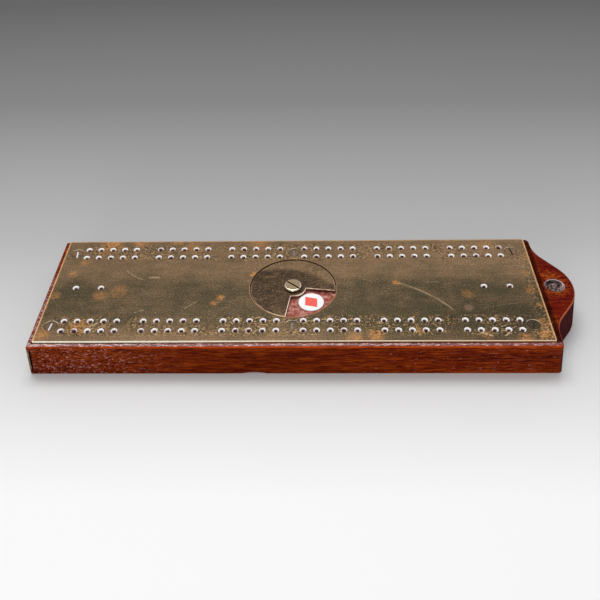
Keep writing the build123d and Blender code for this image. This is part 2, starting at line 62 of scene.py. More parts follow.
class Skin:
    """A node material that is built up by short calls. Lengths are in mm, noise scales per mm.

    coat is the colour and relief the height of the surface, as far as they are built.
    """

    def __init__(self, name):
        self.material = bpy.data.materials.new(name)
        self.material.use_nodes = True
        self.tree = self.material.node_tree
        self.tree.nodes.clear()
        output = self.add("ShaderNodeOutputMaterial")
        self.surface = self.add("ShaderNodeBsdfPrincipled")
        self.tree.links.new(self.surface.outputs[0], output.inputs[0])
        coordinates = self.add("ShaderNodeTexCoord").outputs["Object"]
        self.place = self.stretch(1 / MM, 1 / MM, 1 / MM, coordinates)
        split = self.add("ShaderNodeSeparateXYZ")
        self.put(split.inputs[0], self.place)
        self.x, self.y, self.z = split.outputs
        self.coat = None
        self.relief = None

    def add(self, kind, **settings):
        node = self.tree.nodes.new(kind)
        for key, value in settings.items():
            setattr(node, key, value)
        return node

    def put(self, socket, value):
        """Links a socket, or sets its own value."""
        if isinstance(value, bpy.types.NodeSocket):
            self.tree.links.new(value, socket)
        elif isinstance(value, tuple) and len(value) == 3 and socket.type == "RGBA":
            socket.default_value = (*value, 1.0)
        else:
            socket.default_value = value

    def stretch(self, x, y, z, vector=None):
        """The place, or another vector, times a factor along each axis."""
        node = self.add("ShaderNodeVectorMath", operation="MULTIPLY")
        self.put(node.inputs[0], vector if vector is not None else self.place)
        self.put(node.inputs[1], (x, y, z))
        return node.outputs[0]

    def math(self, operation, *values, clamp=False):
        node = self.add("ShaderNodeMath", operation=operation, use_clamp=clamp)
        for socket, value in zip(node.inputs, values):
            self.put(socket, value)
        return node.outputs[0]

    def chain(self, operation, values):
        """Joins the first value with each of the others in turn."""
        result = values[0]
        for value in values[1:]:
            result = self.math(operation, result, value)
        return result

    def times(self, *values):
        return self.chain("MULTIPLY", values)

    def plus(self, *values):
        return self.chain("ADD", values)

    def most(self, values):
        """The largest of several masks."""
        return self.chain("MAXIMUM", values)

    def least(self, values):
        return self.chain("MINIMUM", values)

    def rest_of(self, mask):
        """1 where the mask is 0, and 0 where it is 1."""
        return self.math("SUBTRACT", 1.0, mask)

    def between(self, value, low, high):
        """Low where the value is 0 and high where it is 1, along a straight line."""
        return self.math("MULTIPLY_ADD", value, high - low, low)

    def smooth(self, value, start, end):
        """0 at start, 1 at end, smooth between them; start may be the larger."""
        node = self.add("ShaderNodeMapRange", interpolation_type="SMOOTHSTEP")
        self.put(node.inputs["Value"], value)
        self.put(node.inputs["From Min"], start)
        self.put(node.inputs["From Max"], end)
        return node.outputs[0]

    def span(self, value, low, high, soft):
        """1 between low and high, falling to 0 over soft outside them."""
        rise = self.smooth(value, low - soft, low)
        fall = self.smooth(value, high + soft, high)
        return self.times(rise, fall)

    def noise(self, vector, scale=1.0, detail=3.0, rough=0.5, warp=0.0):
        node = self.add("ShaderNodeTexNoise")
        self.put(node.inputs["Vector"], vector)
        self.put(node.inputs["Scale"], scale)
        self.put(node.inputs["Detail"], detail)
        self.put(node.inputs["Roughness"], rough)
        self.put(node.inputs["Distortion"], warp)
        return node.outputs[0]

    def cells(self, vector, scale=1.0, feature="F1"):
        """Distance in a pattern of cells, from their middles or, by the feature, from their edges."""
        node = self.add("ShaderNodeTexVoronoi", feature=feature)
        self.put(node.inputs["Vector"], vector)
        self.put(node.inputs["Scale"], scale)
        return node.outputs["Distance"]

    def mix(self, factor, first, second):
        node = self.add("ShaderNodeMix", data_type="RGBA")
        self.put(node.inputs[0], factor)
        self.put(node.inputs[6], first)
        self.put(node.inputs[7], second)
        return node.outputs[2]

    def ramp(self, factor, stops):
        node = self.add("ShaderNodeValToRGB")
        self.put(node.inputs[0], factor)
        elements = node.color_ramp.elements
        while len(elements) < len(stops):
            elements.new(0.5)
        for element, (position, colour) in zip(elements, stops):
            element.position = position
            element.color = (*colour, 1.0)
        return node.outputs[0]

    def shade(self, colour, factor):
        """The colour times a factor."""
        node = self.add("ShaderNodeVectorMath", operation="SCALE")
        self.put(node.inputs[0], colour)
        self.put(node.inputs["Scale"], factor)
        return node.outputs[0]

    def lay(self, mask, colour, strength=1.0):
        """Lays a colour over the coat where the mask is 1, at that strength."""
        factor = mask if strength == 1.0 else self.times(mask, strength)
        self.coat = self.mix(factor, self.coat, colour)

    def lift(self, mask, height):
        """Raises the relief where the mask is 1, or sinks it if height is below 0."""
        self.relief = self.plus(self.relief, self.times(mask, height))

    def distance(self, x, y, vector=None):
        """Distance in plan from a point, over a place that may be warped."""
        node = self.add("ShaderNodeVectorMath", operation="DISTANCE")
        flat = self.stretch(1.0, 1.0, 0.0, vector)
        self.put(node.inputs[0], flat)
        self.put(node.inputs[1], (x, y, 0.0))
        return node.outputs["Value"]

    def warped(self, size, amount):
        """The place, pushed about by noise of that size."""
        noise = self.add("ShaderNodeTexNoise")
        self.put(noise.inputs["Vector"], self.place)
        self.put(noise.inputs["Scale"], 1.0 / size)
        centred = self.add("ShaderNodeVectorMath", operation="SUBTRACT")
        self.put(centred.inputs[0], noise.outputs["Color"])
        self.put(centred.inputs[1], (0.5, 0.5, 0.5))
        pushed = self.add("ShaderNodeVectorMath", operation="MULTIPLY_ADD")
        self.put(pushed.inputs[0], centred.outputs[0])
        self.put(pushed.inputs[1], (amount, amount, amount))
        self.put(pushed.inputs[2], self.place)
        return pushed.outputs[0]

    def bump(self, height, depth, below=None):
        """A normal that follows height, which stands depth mm high at 1, over the normal below."""
        node = self.add("ShaderNodeBump")
        self.put(node.inputs["Height"], height)
        self.put(node.inputs["Distance"], depth * MM)
        if below is not None:
            self.put(node.inputs["Normal"], below)
        return node.outputs[0]

    def finish(self, **sockets):
        """Puts values on the shader's own sockets and returns the material."""
        for name, value in sockets.items():
            self.put(self.surface.inputs[name.replace("_", " ")], value)
        return self.material


# ------------------------------------------------------------------------------- wood

# dark, middle and light of the grain: the box, the drawer's boards, its front block
POLISHED_GRAIN = ((0.040, 0.002, 0.000), (0.165, 0.015, 0.001), (0.340, 0.058, 0.003))
PLANED_GRAIN = ((0.13, 0.045, 0.02), (0.28, 0.115, 0.055), (0.42, 0.20, 0.10))
FRONT_GRAIN = ((0.06, 0.012, 0.004), (0.16, 0.035, 0.012), (0.28, 0.08, 0.03))

# marks on the polished wood
LOBE_RED = (0.130, 0.004, 0.005)
LOBE_ORANGE = (0.40, 0.080, 0.006)
LOBE_GLOOM = (0.030, 0.001, 0.002)
LOBE_SIDE_SHADE = (0.056, 0.017, 0.018)
LOBE_EDGE_HIGHLIGHT = (0.62, 0.22, 0.11)
RUBBED_ARRIS_HIGHLIGHT = (0.44, 0.060, 0.008)
RUBBED_FOOT = (0.30, 0.050, 0.016)
VARNISH_HOLLOW = (0.025, 0.003, 0.001)
VARNISH_EMBER = (0.28, 0.036, 0.003)
VARNISH_CLOUD_GLINT = (0.48, 0.26, 0.24)
PLATE_FOOT_SHADE = (0.014, 0.003, 0.003)
HOLE_SHADE_UNDER_RIM = (0.030, 0.018, 0.018)
HOLE_RIM_HIGHLIGHT = (0.46, 0.38, 0.42)
WALL_SHADE_STOPS = [(0.0, (0.030, 0.010, 0.006)), (1.0, (0.300, 0.150, 0.130))]
DUST_STOPS = [(0.40, (0.09, 0.05, 0.05)), (0.50, (0.46, 0.33, 0.31)), (0.58, (1.0, 0.84, 0.80))]
GLINT_STOPS = [(0.46, (0.11, 0.018, 0.020)), (0.54, (0.36, 0.130, 0.120)), (0.63, (0.98, 0.78, 0.76))]


def mahogany_grain(skin, dark, middle, light):
    """Coats with red-brown wood: grain along X and dark open pores."""
    streaks = skin.noise(skin.stretch(0.085, 1.10, 1.10), detail=8.0, rough=0.75, warp=0.35)
    bands = skin.noise(skin.stretch(0.008, 0.10, 0.10), detail=3.0)
    figure = skin.plus(skin.times(streaks, 0.72), skin.times(bands, 0.28))
    skin.coat = skin.ramp(figure, [(0.40, dark), (0.50, middle), (0.59, light)])
    pores = skin.smooth(skin.noise(skin.stretch(0.30, 3.2, 3.2), detail=3.0), 0.56, 0.66)
    skin.lay(pores, dark, 0.75)
    skin.relief = skin.plus(skin.times(pores, -0.7), skin.times(streaks, 0.25))


def drawer_wood(name, dark, middle, light):
    """Planed wood with little polish, for the drawer."""
    skin = Skin(name)
    mahogany_grain(skin, dark, middle, light)
    return skin.finish(
        Base_Color=skin.coat,
        Roughness=skin.between(skin.noise(skin.place, 0.4), 0.42, 0.58),
        Normal=skin.bump(skin.relief, 0.035),
        Specular_IOR_Level=0.25,
    )


def lobe_wood(skin, on_front, below_arris):
    """The lobe: deep red, orange by its hole, a painted highlight along its front edge, end grain with
    painted shade down its side.

    Returns the mask of its side, where the shade is painted.
    """
    on_lobe = skin.smooth(skin.x, plate_high.x + 2.0, plate_high.x + 6.0)
    skin.lay(on_lobe, LOBE_RED, 0.55)
    mottle = skin.noise(skin.stretch(0.45, 0.9, 0.9), detail=5.0, rough=0.75)
    near_hole = skin.smooth(skin.distance(hang_x - 3.5, hang_y + 1.5), 14.0, 7.0)
    skin.lay(skin.times(on_lobe, skin.smooth(mottle, 0.47, 0.56), near_hole), LOBE_ORANGE, 0.9)
    skin.lay(skin.times(on_lobe, skin.smooth(mottle, 0.47, 0.41)), LOBE_GLOOM, 0.85)
    # its side is painted darker: painted shade over the end grain
    past_top = skin.smooth(skin.x, plate_high.x + 2.2, plate_high.x + 3.2)
    side = skin.times(past_top, below_arris, skin.rest_of(on_front))
    end_grain = skin.noise(skin.stretch(0.9, 0.9, 0.22), detail=5.0, rough=0.7)
    skin.lay(side, skin.shade(LOBE_SIDE_SHADE, skin.between(end_grain, -0.3, 2.3)), 0.9)
    # a painted highlight along the lobe's rounded front edge
    edge = skin.times(
        skin.smooth(skin.z, WOOD_TOP - 0.15, WOOD_TOP - 0.5),
        skin.smooth(skin.z, WOOD_TOP - 1.6, WOOD_TOP - 1.1),
        skin.smooth(skin.y, 4.0, -4.0),
    )
    skin.lay(skin.times(edge, on_lobe), LOBE_EDGE_HIGHLIGHT, 0.7)
    return side


def rubbed_lit_arrises(skin):
    """Edges rubbed to a lighter red, ragged where the varnish has flaked; on the upper edges the lighter red
    is also a painted highlight.

    Returns the mask of the upper edges.
    """
    ragged = skin.noise(skin.stretch(0.12, 0.9, 0.9), detail=4.0)
    front = skin.times(
        skin.smooth(skin.y, WOOD_FRONT + 1.6, WOOD_FRONT + 1.2),
        skin.span(skin.z, WOOD_TOP - 1.25, WOOD_TOP - 0.45, 0.25),
    )
    others = skin.times(skin.span(skin.z, WOOD_TOP - 1.25, WOOD_TOP - 0.60, 0.25), 0.8)
    arrises = skin.most([front, others])
    # upper edges: rubbed lighter, and a painted highlight
    skin.lay(skin.times(arrises, skin.between(skin.smooth(ragged, 0.35, 0.60), 0.35, 0.90)), RUBBED_ARRIS_HIGHLIGHT)
    skin.lay(skin.smooth(skin.plus(skin.z, skin.times(ragged, 1.6)), 1.75, 0.9), RUBBED_FOOT, 0.65)
    return arrises


def toned_front(skin, front):
    """The low front light is strong on this face, so its wood is darker, most at the left."""
    darker = skin.between(skin.smooth(skin.x, 20.0, 110.0), -0.36, -0.16)
    skin.coat = skin.shade(skin.coat, skin.math("MULTIPLY_ADD", front, darker, 1.0))


def crazed_varnish(skin, on_front, front):
    """Crazed and clouded varnish at the drawer end, streaks and flecks towards the lobe; the pale specks and
    flecks are also painted glints.

    Returns the mask of the flecks.
    """
    at_left = skin.smooth(skin.x, -45.0, -125.0)
    at_right = skin.smooth(skin.x, 40.0, 120.0)
    crazing = skin.noise(skin.stretch(0.55, 1.0, 1.0), detail=4.0, rough=0.8, warp=0.6)
    skin.lay(skin.times(skin.smooth(crazing, 0.49, 0.45), at_left, on_front), VARNISH_HOLLOW, 0.7)
    skin.lay(skin.times(skin.span(crazing, 0.495, 0.530, 0.01), at_left, front), VARNISH_EMBER, 0.5)
    specks = skin.smooth(crazing, 0.585, 0.600)
    dashes = skin.smooth(skin.noise(skin.stretch(0.10, 1.3, 1.3), detail=4.0, rough=0.7), 0.60, 0.70)
    flecks = skin.noise(skin.stretch(0.40, 1.4, 1.4), detail=3.0, rough=0.7, warp=0.5)
    flecks = skin.smooth(flecks, 0.665, 0.69)
    # the pale specks and flecks are clouded varnish and painted glints
    cloud = skin.plus(
        skin.times(specks, at_left),
        skin.times(dashes, at_right, 0.35),
        skin.times(flecks, skin.smooth(skin.x, 10.0, 60.0)),
    )
    cloud = skin.times(cloud, front)
    skin.lay(cloud, VARNISH_CLOUD_GLINT, 0.75)
    cracks = skin.smooth(skin.cells(skin.warped(3.0, 1.2), 0.55, "DISTANCE_TO_EDGE"), 0.10, 0.0)
    skin.lift(skin.times(cracks, at_left), -0.8)
    skin.lift(cloud, 0.9)
    return flecks


def shaded_foot(skin):
    """Painted shade along the foot of the plate, wider at the lobe; returns all of it and the lobe's part."""
    beside_y = skin.smooth(skin.math("ABSOLUTE", skin.y), plate_high.y + 0.75, plate_high.y + 0.35)
    beside_x = skin.smooth(skin.math("ABSOLUTE", skin.x), plate_high.x + 1.1, plate_high.x + 0.3)
    wavering = skin.plus(skin.x, skin.times(skin.noise(skin.place, 0.25, detail=3.0), 2.0))
    at_lobe = skin.math("GREATER_THAN", skin.x, 0.0)
    lobe_foot = skin.times(skin.smooth(wavering, plate_high.x + 4.8, plate_high.x + 3.4), at_lobe)
    # painted shade where the plate meets the wood, wider on the lobe
    foot = skin.times(skin.most([beside_x, skin.times(lobe_foot, 0.85)]), beside_y, 0.95)
    skin.lay(foot, PLATE_FOOT_SHADE)
    return foot, lobe_foot


def raw_shaded_wells(skin):
    """Raw dark wood below the plate, in the peg holes and in the well of the dial, with painted shade that
    deepens downwards.
    """
    under_y = skin.smooth(skin.math("ABSOLUTE", skin.y), plate_high.y + 0.2, plate_high.y - 0.5)
    under_x = skin.smooth(skin.math("ABSOLUTE", skin.x), plate_high.x + 0.2, plate_high.x - 0.5)
    # painted shade: darker the deeper down
    depth = skin.smooth(skin.z, WOOD_TOP - 3.5, WOOD_TOP)
    skin.lay(skin.times(under_x, under_y), skin.ramp(depth, WALL_SHADE_STOPS), 0.95)


def dusty_shaded_hole(skin):
    """Dust in the hanging hole, painted shade below the back of its rim, and a painted highlight on its rim.
    """
    in_hole = skin.smooth(skin.distance(hang_x, hang_y), HANG_RADIUS + 0.45, HANG_RADIUS + 0.15)
    dust_shade_highlight = skin.ramp(skin.noise(skin.place, 0.7, detail=4.0), DUST_STOPS)
    at_back = skin.smooth(skin.y, hang_y + 2.0, hang_y + 3.5)
    under_rim = skin.times(at_back, skin.smooth(skin.z, WOOD_TOP - 3.5, WOOD_TOP - 2.5))
    # painted shade under the back of the rim, then a painted highlight on the rim
    dust_shade_highlight = skin.mix(skin.times(under_rim, 0.85), dust_shade_highlight, HOLE_SHADE_UNDER_RIM)
    dust_shade_highlight = skin.mix(skin.smooth(skin.z, WOOD_TOP - 0.45, WOOD_TOP - 0.3), dust_shade_highlight, HOLE_RIM_HIGHLIGHT)
    skin.lay(in_hole, dust_shade_highlight)


def glinting_strips(skin, lobe_glint_flecks):
    """Painted glints and dark painted reflections on the top: before the plate, at its left, in flecks by the
    lobe.
    """
    on_top = skin.smooth(skin.z, WOOD_TOP - 0.40, WOOD_TOP - 0.25)
    before_plate = skin.span(skin.y, WOOD_FRONT + 0.2, plate_low.y - 0.8, 0.2)
    left_strip = skin.smooth(skin.x, plate_low.x - 0.5, plate_low.x - 0.8)
    left_strip = skin.times(left_strip, skin.smooth(skin.y, 35.0, -40.0), 0.8)
    glint_noise = skin.noise(skin.stretch(0.35, 1.6, 1.6), detail=4.0, rough=0.8)
    glint_noise = skin.plus(glint_noise, skin.times(skin.smooth(skin.x, -60.0, -120.0), 0.03))
    # painted reflection: dark streaks and white glints
    glint_places = skin.times(skin.most([before_plate, left_strip, lobe_glint_flecks]), on_top)
    skin.lay(glint_places, skin.ramp(glint_noise, GLINT_STOPS), 0.75)


def polished_mahogany(name):
    """The box's old varnished wood: crazed, rubbed along its edges, raw within its holes, with painted
    glints, highlights and shade.
    """
    skin = Skin(name)
    mahogany_grain(skin, *POLISHED_GRAIN)
    on_front = skin.smooth(skin.y, WOOD_FRONT + 0.7, WOOD_FRONT + 0.1)
    below_arris = skin.smooth(skin.z, WOOD_TOP - 0.7, WOOD_TOP - 1.3)
    front = skin.times(on_front, below_arris)
    shaded_lobe_side = lobe_wood(skin, on_front, below_arris)
    arrises = rubbed_lit_arrises(skin)
    toned_front(skin, front)
    flecks = crazed_varnish(skin, on_front, front)
    foot, lobe_foot = shaded_foot(skin)
    raw_shaded_wells(skin)
    dusty_shaded_hole(skin)
    glinting_strips(skin, skin.times(lobe_foot, flecks))

    # only the strip of the top in front of the plate still shines
    polished = skin.times(
        skin.smooth(skin.y, plate_low.y + 0.6, plate_low.y - 0.2),
        skin.smooth(skin.z, WOOD_TOP - 0.6, WOOD_TOP - 0.2),
    )
    dull = skin.most([shaded_lobe_side, foot, arrises])
    shine = skin.times(skin.between(polished, 0.02, 0.52), skin.rest_of(dull))
    surface = skin.bump(skin.relief, 0.035)
    dents = skin.bump(skin.noise(skin.stretch(0.10, 0.22, 0.22), detail=2.0), 0.25, surface)
    return skin.finish(
        Base_Color=skin.coat,
        Roughness=skin.between(skin.noise(skin.place, 0.4), 0.20, 0.36),
        Normal=dents,
        Specular_IOR_Level=skin.times(shine, 0.7),
        Coat_Weight=skin.times(shine, 0.9),
        Coat_Roughness=0.08,
        Coat_Normal=dents,
    )


# ------------------------------------------------------------------------------ metals

# the clean and the tarnished brass of the plate and the disc, and the specks in it
WARM = (0.260, 0.164, 0.090)
OLIVE = (0.095, 0.075, 0.042)
GRIT = (0.42, 0.27, 0.14)

# marks on the face of the plate
COPPER = (0.70, 0.31, 0.09)
GOLD_GRAIN = (0.66, 0.40, 0.20)
BLACK_GRAIN = (0.035, 0.026, 0.016)
FADED = (0.240, 0.155, 0.105)
PIT_GRIME = (0.030, 0.024, 0.015)
NICK_GLINT = (0.58, 0.36, 0.17)
SCRATCHED = (0.60, 0.44, 0.25)
SCREW_RING_HIGHLIGHT = (0.85, 0.70, 0.55)
DIAL_FRONT_DARK = (0.16, 0.08, 0.045)
DIAL_LINE = (0.52, 0.28, 0.13)
WORN_LINE = (0.86, 0.50, 0.22)

# the plate below its face: painted highlight and shade in the countersinks from the top down and on the
# edges, painted shade in the other holes
COUNTERSINK_LIGHT_STOPS = [
    (0.0, (1.0, 0.97, 0.96)),
    (0.45, (0.95, 0.88, 0.86)),
    (0.72, (0.48, 0.32, 0.30)),
    (1.0, (0.20, 0.10, 0.09)),
]
EDGE_HIGHLIGHT_LEFT = (1.0, 0.97, 0.78)
EDGE_HIGHLIGHT_RIGHT = (0.95, 0.74, 0.52)
EDGE_SHADE = (0.46, 0.22, 0.09)
END_HIGHLIGHT = (0.90, 0.56, 0.30)
SCREW_DIAL_HOLE_SHADE = (0.10, 0.055, 0.03)

# the disc, the drawer's face plate and the screws
DISC_SHADE_TARNISH = (0.066, 0.043, 0.026)
DISC_RUB = (0.28, 0.17, 0.10)
DISC_EDGE_HIGHLIGHT = (0.90, 0.72, 0.54)
DISC_FOOT_SHADE = (0.08, 0.045, 0.03)
FACE_WARM = (0.30, 0.20, 0.12)
FACE_OLIVE = (0.15, 0.10, 0.06)
SCREW_GRIME = (0.040, 0.028, 0.016)
SLOT_LIGHT_STOPS = [(0.0, (0.95, 0.93, 0.95)), (0.5, (0.17, 0.16, 0.16)), (1.0, (0.035, 0.025, 0.02))]
PIVOT_FACE = (0.52, 0.38, 0.23)
PIVOT_RIM_HIGHLIGHT = (1.0, 0.84, 0.66)
PIVOT_SLOT_SHADE = (0.05, 0.03, 0.02)
PIVOT_FOOT_SHADE = (0.16, 0.09, 0.05)
FILE_MARKS_ANGLE = 40.0
PLAIN_BRASS = (0.45, 0.34, 0.20)

# patina on the plate: centre x, y, radius and strength
PLATE_PATINA = [
    (-109.0, 39.0, 8.0, 1.0),
    (-92.0, 40.5, 6.0, 0.8),
    (-70.0, 40.5, 5.0, 0.6),
    (-121.5, 22.5, 4.0, 0.6),
    (-107.0, -6.5, 6.0, 0.4),
    (-112.5, 32.0, 5.0, 0.7),
    (-126.5, 11.6, 3.2, 0.9),
    (-132.0, -6.6, 4.0, 0.5),
    (-39.2, -8.9, 3.4, 0.8),
    (-43.0, -13.0, 3.0, 0.5),
    (-131.5, -36.5, 5.5, 0.7),
    (-113.0, -31.0, 8.0, 0.8),
    (-98.6, 25.5, 2.0, 1.0),
    (-97.0, -3.0, 7.0, 0.35),
    (132.5, 25.0, 4.0, 0.5),
    (130.3, 10.8, 3.5, 0.5),
    (130.3, -3.5, 5.0, 0.5),
    (132.4, -15.5, 3.0, 0.7),
    (131.0, -29.0, 5.0, 0.7),
    (130.3, -37.5, 5.5, 1.0),
    (120.0, -40.0, 5.0, 0.7),
    (66.0, -34.5, 4.0, 0.5),
    (101.0, -37.5, 5.0, 0.4),
    (43.5, -37.5, 6.0, 0.7),
    (33.0, -39.5, 6.0, 0.5),
    (95.6, -6.5, 5.0, 0.35),
    (-22.3, 10.2, 3.0, 0.9),
    (57.4, 3.2, 3.0, 0.8),
    (-60.0, 36.0, 8.0, 0.4),
    (-20.0, 38.0, 9.0, 0.4),
    (112.0, 36.0, 7.0, 0.4),
]

FADED_SPOT = (94.4, -17.7)
GRAINY_CORNER = (133.0, -35.0)

# scratches on the plate: ends, bow to the left of the way from one to the other, width, strength
PLATE_SCRATCHES = [
    ((57.0, 3.5), (87.0, -20.5), 3.0, 0.60, 0.75),
    ((60.0, 1.0), (84.0, -17.5), 2.2, 0.30, 0.4),
    ((72.9, 3.5), (81.8, 3.4), 0.0, 0.26, 0.9),
    ((-96.5, 15.5), (-84.5, 6.5), -0.9, 0.60, 0.6),
    ((-82.5, 8.3), (-75.5, 8.6), 0.2, 1.00, 0.8),
    ((-58.9, -18.0), (-51.8, -11.2), 0.2, 0.50, 0.6),
    ((100.0, -18.5), (128.0, -12.5), 0.5, 0.30, 0.4),
    ((64.5, -29.0), (66.5, -36.5), 0.1, 0.35, 0.7),
    ((109.4, -38.8), (113.4, -34.0), -0.4, 0.60, 1.3),
    ((96.2, -34.5), (104.0, -38.9), -0.3, 0.70, 1.3),
    ((98.5, -37.0), (103.5, -38.2), -0.2, 0.50, 1.0),
    ((-107.8, -32.0), (-103.0, -28.0), 0.1, 0.60, 1.3),
    ((-86.0, -20.2), (-79.0, -17.5), -0.2, 0.50, 0.9),
    ((20.0, 18.0), (46.0, 2.0), 0.8, 0.20, 0.3),
    ((-40.0, 30.0), (-8.0, 24.0), 1.2, 0.22, 0.25),
]


def scratch_mask(skin, start, end, bow, width, strength, place):
    """A thin line, straight or bowed, that fades at its ends."""
    run = Vector(end) - Vector(start)
    middle = (Vector(start) + Vector(end)) / 2
    side = Vector((-run.y, run.x)).normalized()
    # a straight line is a very flat arc
    bow = bow if abs(bow) > 0.01 else 0.01
    radius = (run.length_squared / 4 + bow * bow) / (2 * abs(bow))
    centre = middle + side * (bow - math.copysign(radius, bow))
    from_arc = skin.math("ABSOLUTE", skin.math("SUBTRACT", skin.distance(*centre, place), radius))
    line = skin.smooth(from_arc, width, width * 0.2)
    near = skin.smooth(skin.distance(*middle), run.length * 0.52, run.length * 0.36)
    return skin.times(line, near, strength)


def brushed_tarnish(skin, warm, olive, tarnish_and_shade):
    """Coats with old brass, finely brushed along X, from clean and warm to tarnished and olive."""
    brush = skin.noise(skin.stretch(0.045, 2.6, 2.6), detail=5.0, rough=0.65)
    speckle = skin.noise(skin.place, 1.30, detail=3.0, rough=0.8)
    blotches = skin.noise(skin.stretch(0.10, 0.14, 0.14), detail=4.0, rough=0.6)
    tarnish_and_shade = skin.math("ADD", tarnish_and_shade, skin.between(blotches, -0.65, 0.65), clamp=True)
    skin.coat = skin.mix(tarnish_and_shade, warm, olive)
    skin.lay(skin.smooth(speckle, 0.57, 0.66), GRIT, 0.45)
    light = skin.times(skin.between(brush, 0.40, 1.60), skin.between(speckle, -0.30, 2.30))
    skin.coat = skin.shade(skin.coat, light)
    skin.relief = skin.plus(skin.times(brush, 0.35), skin.times(speckle, 0.25))


def metal(skin, rough, metallic=1.0, waves=0.12):
    """Finishes a metal with broad shallow waves under its fine texture."""
    wavy = skin.bump(skin.noise(skin.place, 0.05, detail=2.0), waves)
    return skin.finish(
        Base_Color=skin.coat,
        Metallic=metallic,
        Roughness=rough,
        Normal=skin.bump(skin.relief, 0.012, wavy),
    )


def plate_tone(skin):
    """Coats like the playing plate: tarnish with painted shade, darkest across the middle, and painted light
    at the back right.

    Returns the mottle.
    """
    mottle = skin.noise(skin.place, 0.045, detail=6.0, rough=0.6)
    # a band of painted shade across the middle, and more at the front right, goes in with the tarnish
    shade_band = skin.span(skin.y, -24.0, -2.0, 17.0)
    shade_band = skin.times(shade_band, skin.between(skin.smooth(skin.x, -70.0, 60.0), 0.85, 1.0))
    front_right = skin.times(skin.smooth(skin.x, -10.0, 60.0), skin.smooth(skin.y, -12.0, -26.0))
    tarnish_and_shade = skin.plus(skin.times(skin.smooth(mottle, 0.36, 0.66), 0.40), skin.times(shade_band, 0.72))
    tarnish_and_shade = skin.math("ADD", tarnish_and_shade, skin.times(front_right, 0.45), clamp=True)
    brushed_tarnish(skin, WARM, OLIVE, tarnish_and_shade)
    # painted light at the back right and painted shade at the front right
    lit_back_shaded_front = skin.between(skin.smooth(skin.y, 30.0, -25.0), 0.20, -0.18)
    skin.coat = skin.shade(skin.coat, skin.math("MULTIPLY_ADD", skin.smooth(skin.x, 10.0, 110.0), lit_back_shaded_front, 0.96))
    return mottle


def copper_bites(skin, ragged):
    """Copper-coloured bites in the tarnish."""
    spots = [
        skin.times(skin.smooth(skin.distance(x, y, ragged), radius, radius * 0.25), strength)
        for x, y, radius, strength in PLATE_PATINA
    ]
    bitten = skin.smooth(skin.noise(skin.place, 0.8, detail=5.0, rough=0.7), 0.40, 0.54)
    copper = skin.times(skin.most(spots), bitten)
    skin.lay(copper, COPPER, 0.90)
    skin.lift(copper, -0.5)


def grainy_end(skin, ragged):
    """Gold and black grains along the right-hand end, thickest at its front corner."""
    corner = skin.smooth(skin.distance(*GRAINY_CORNER, ragged), 12.0, 5.0)
    right_side = skin.times(skin.smooth(skin.x, 125.0, 132.5), skin.smooth(skin.y, 34.0, 20.0))
    grained = skin.most([corner, skin.times(right_side, 0.6)])
    grains = skin.noise(skin.place, 0.95, detail=2.0, rough=0.7)
    skin.lay(skin.times(grained, skin.smooth(grains, 0.55, 0.59)), GOLD_GRAIN, 0.8)
    skin.lay(skin.times(grained, skin.smooth(grains, 0.45, 0.41)), BLACK_GRAIN, 0.7)


def faded_spot(skin):
    """A round spot that is clean of tarnish."""
    skin.lay(skin.smooth(skin.distance(*FADED_SPOT, skin.warped(3.0, 2.5)), 3.4, 1.4), FADED, 0.75)


def grimy_rows(skin):
    """Pits full of grime, and bright specks of nicked metal and painted glints, between the peg holes."""
    in_rows = skin.span(skin.math("ABSOLUTE", skin.y), *ROW_SPAN, 2.0)
    in_rows = skin.times(in_rows, skin.smooth(skin.noise(skin.place, 0.06, detail=3.0), 0.34, 0.56))
    pits = skin.smooth(skin.noise(skin.stretch(0.75, 1.0, 1.0), detail=2.0, rough=0.6), 0.53, 0.58)
    nick_glints = skin.smooth(skin.noise(skin.stretch(0.85, 1.2, 1.0), detail=2.0, rough=0.6), 0.56, 0.61)
    skin.lay(skin.times(in_rows, pits), PIT_GRIME, 0.75)
    # the bright specks are nicked metal and painted glints
    skin.lay(skin.times(in_rows, nick_glints), NICK_GLINT, 0.75)


def scratches(skin):
    """Thin bright lines, broken here and there."""
    wavering = skin.warped(9.0, 0.9)
    lines = skin.most([scratch_mask(skin, *scratch, wavering) for scratch in PLATE_SCRATCHES])
    lines = skin.times(lines, skin.smooth(skin.noise(skin.place, 1.1, detail=3.0), 0.34, 0.52))
    skin.lay(lines, SCRATCHED, 0.75)
    skin.lift(lines, -0.8)


def screw_ring_highlights(skin, patchy):
    """Rings of painted highlight round the screws, strong on the far side only."""
    rings = [
        skin.times(
            skin.span(skin.distance(x, y), SCREW_RADIUS + 0.1, SCREW_RADIUS + 0.3, 0.25),
            skin.between(skin.smooth(skin.y, y + 0.5, y + 3.0), 0.10, 1.0),
        )
        for x, y in SCREW_PLACES
    ]
    skin.lay(skin.times(skin.most(rings), skin.between(patchy, 0.4, 0.9)), SCREW_RING_HIGHLIGHT)


def dial_edge(skin, patchy, from_middle):
    """A worn copper line round the dial, faint at the back, and a darker band along its front."""
    front_band = skin.span(from_middle, DISC_RADIUS + 0.3, DISC_RADIUS + 1.4, 0.8)
    skin.lay(skin.times(front_band, skin.smooth(skin.y, -2.0, -14.0)), DIAL_FRONT_DARK, 0.5)
    line = skin.span(from_middle, DISC_RADIUS + 0.5, DISC_RADIUS + 0.7, 0.30)
    not_back = skin.between(skin.smooth(skin.y, 8.0, -2.0), 0.4, 1.0)
    skin.lay(skin.times(line, not_back, skin.between(patchy, 0.5, 1.0)), DIAL_LINE)


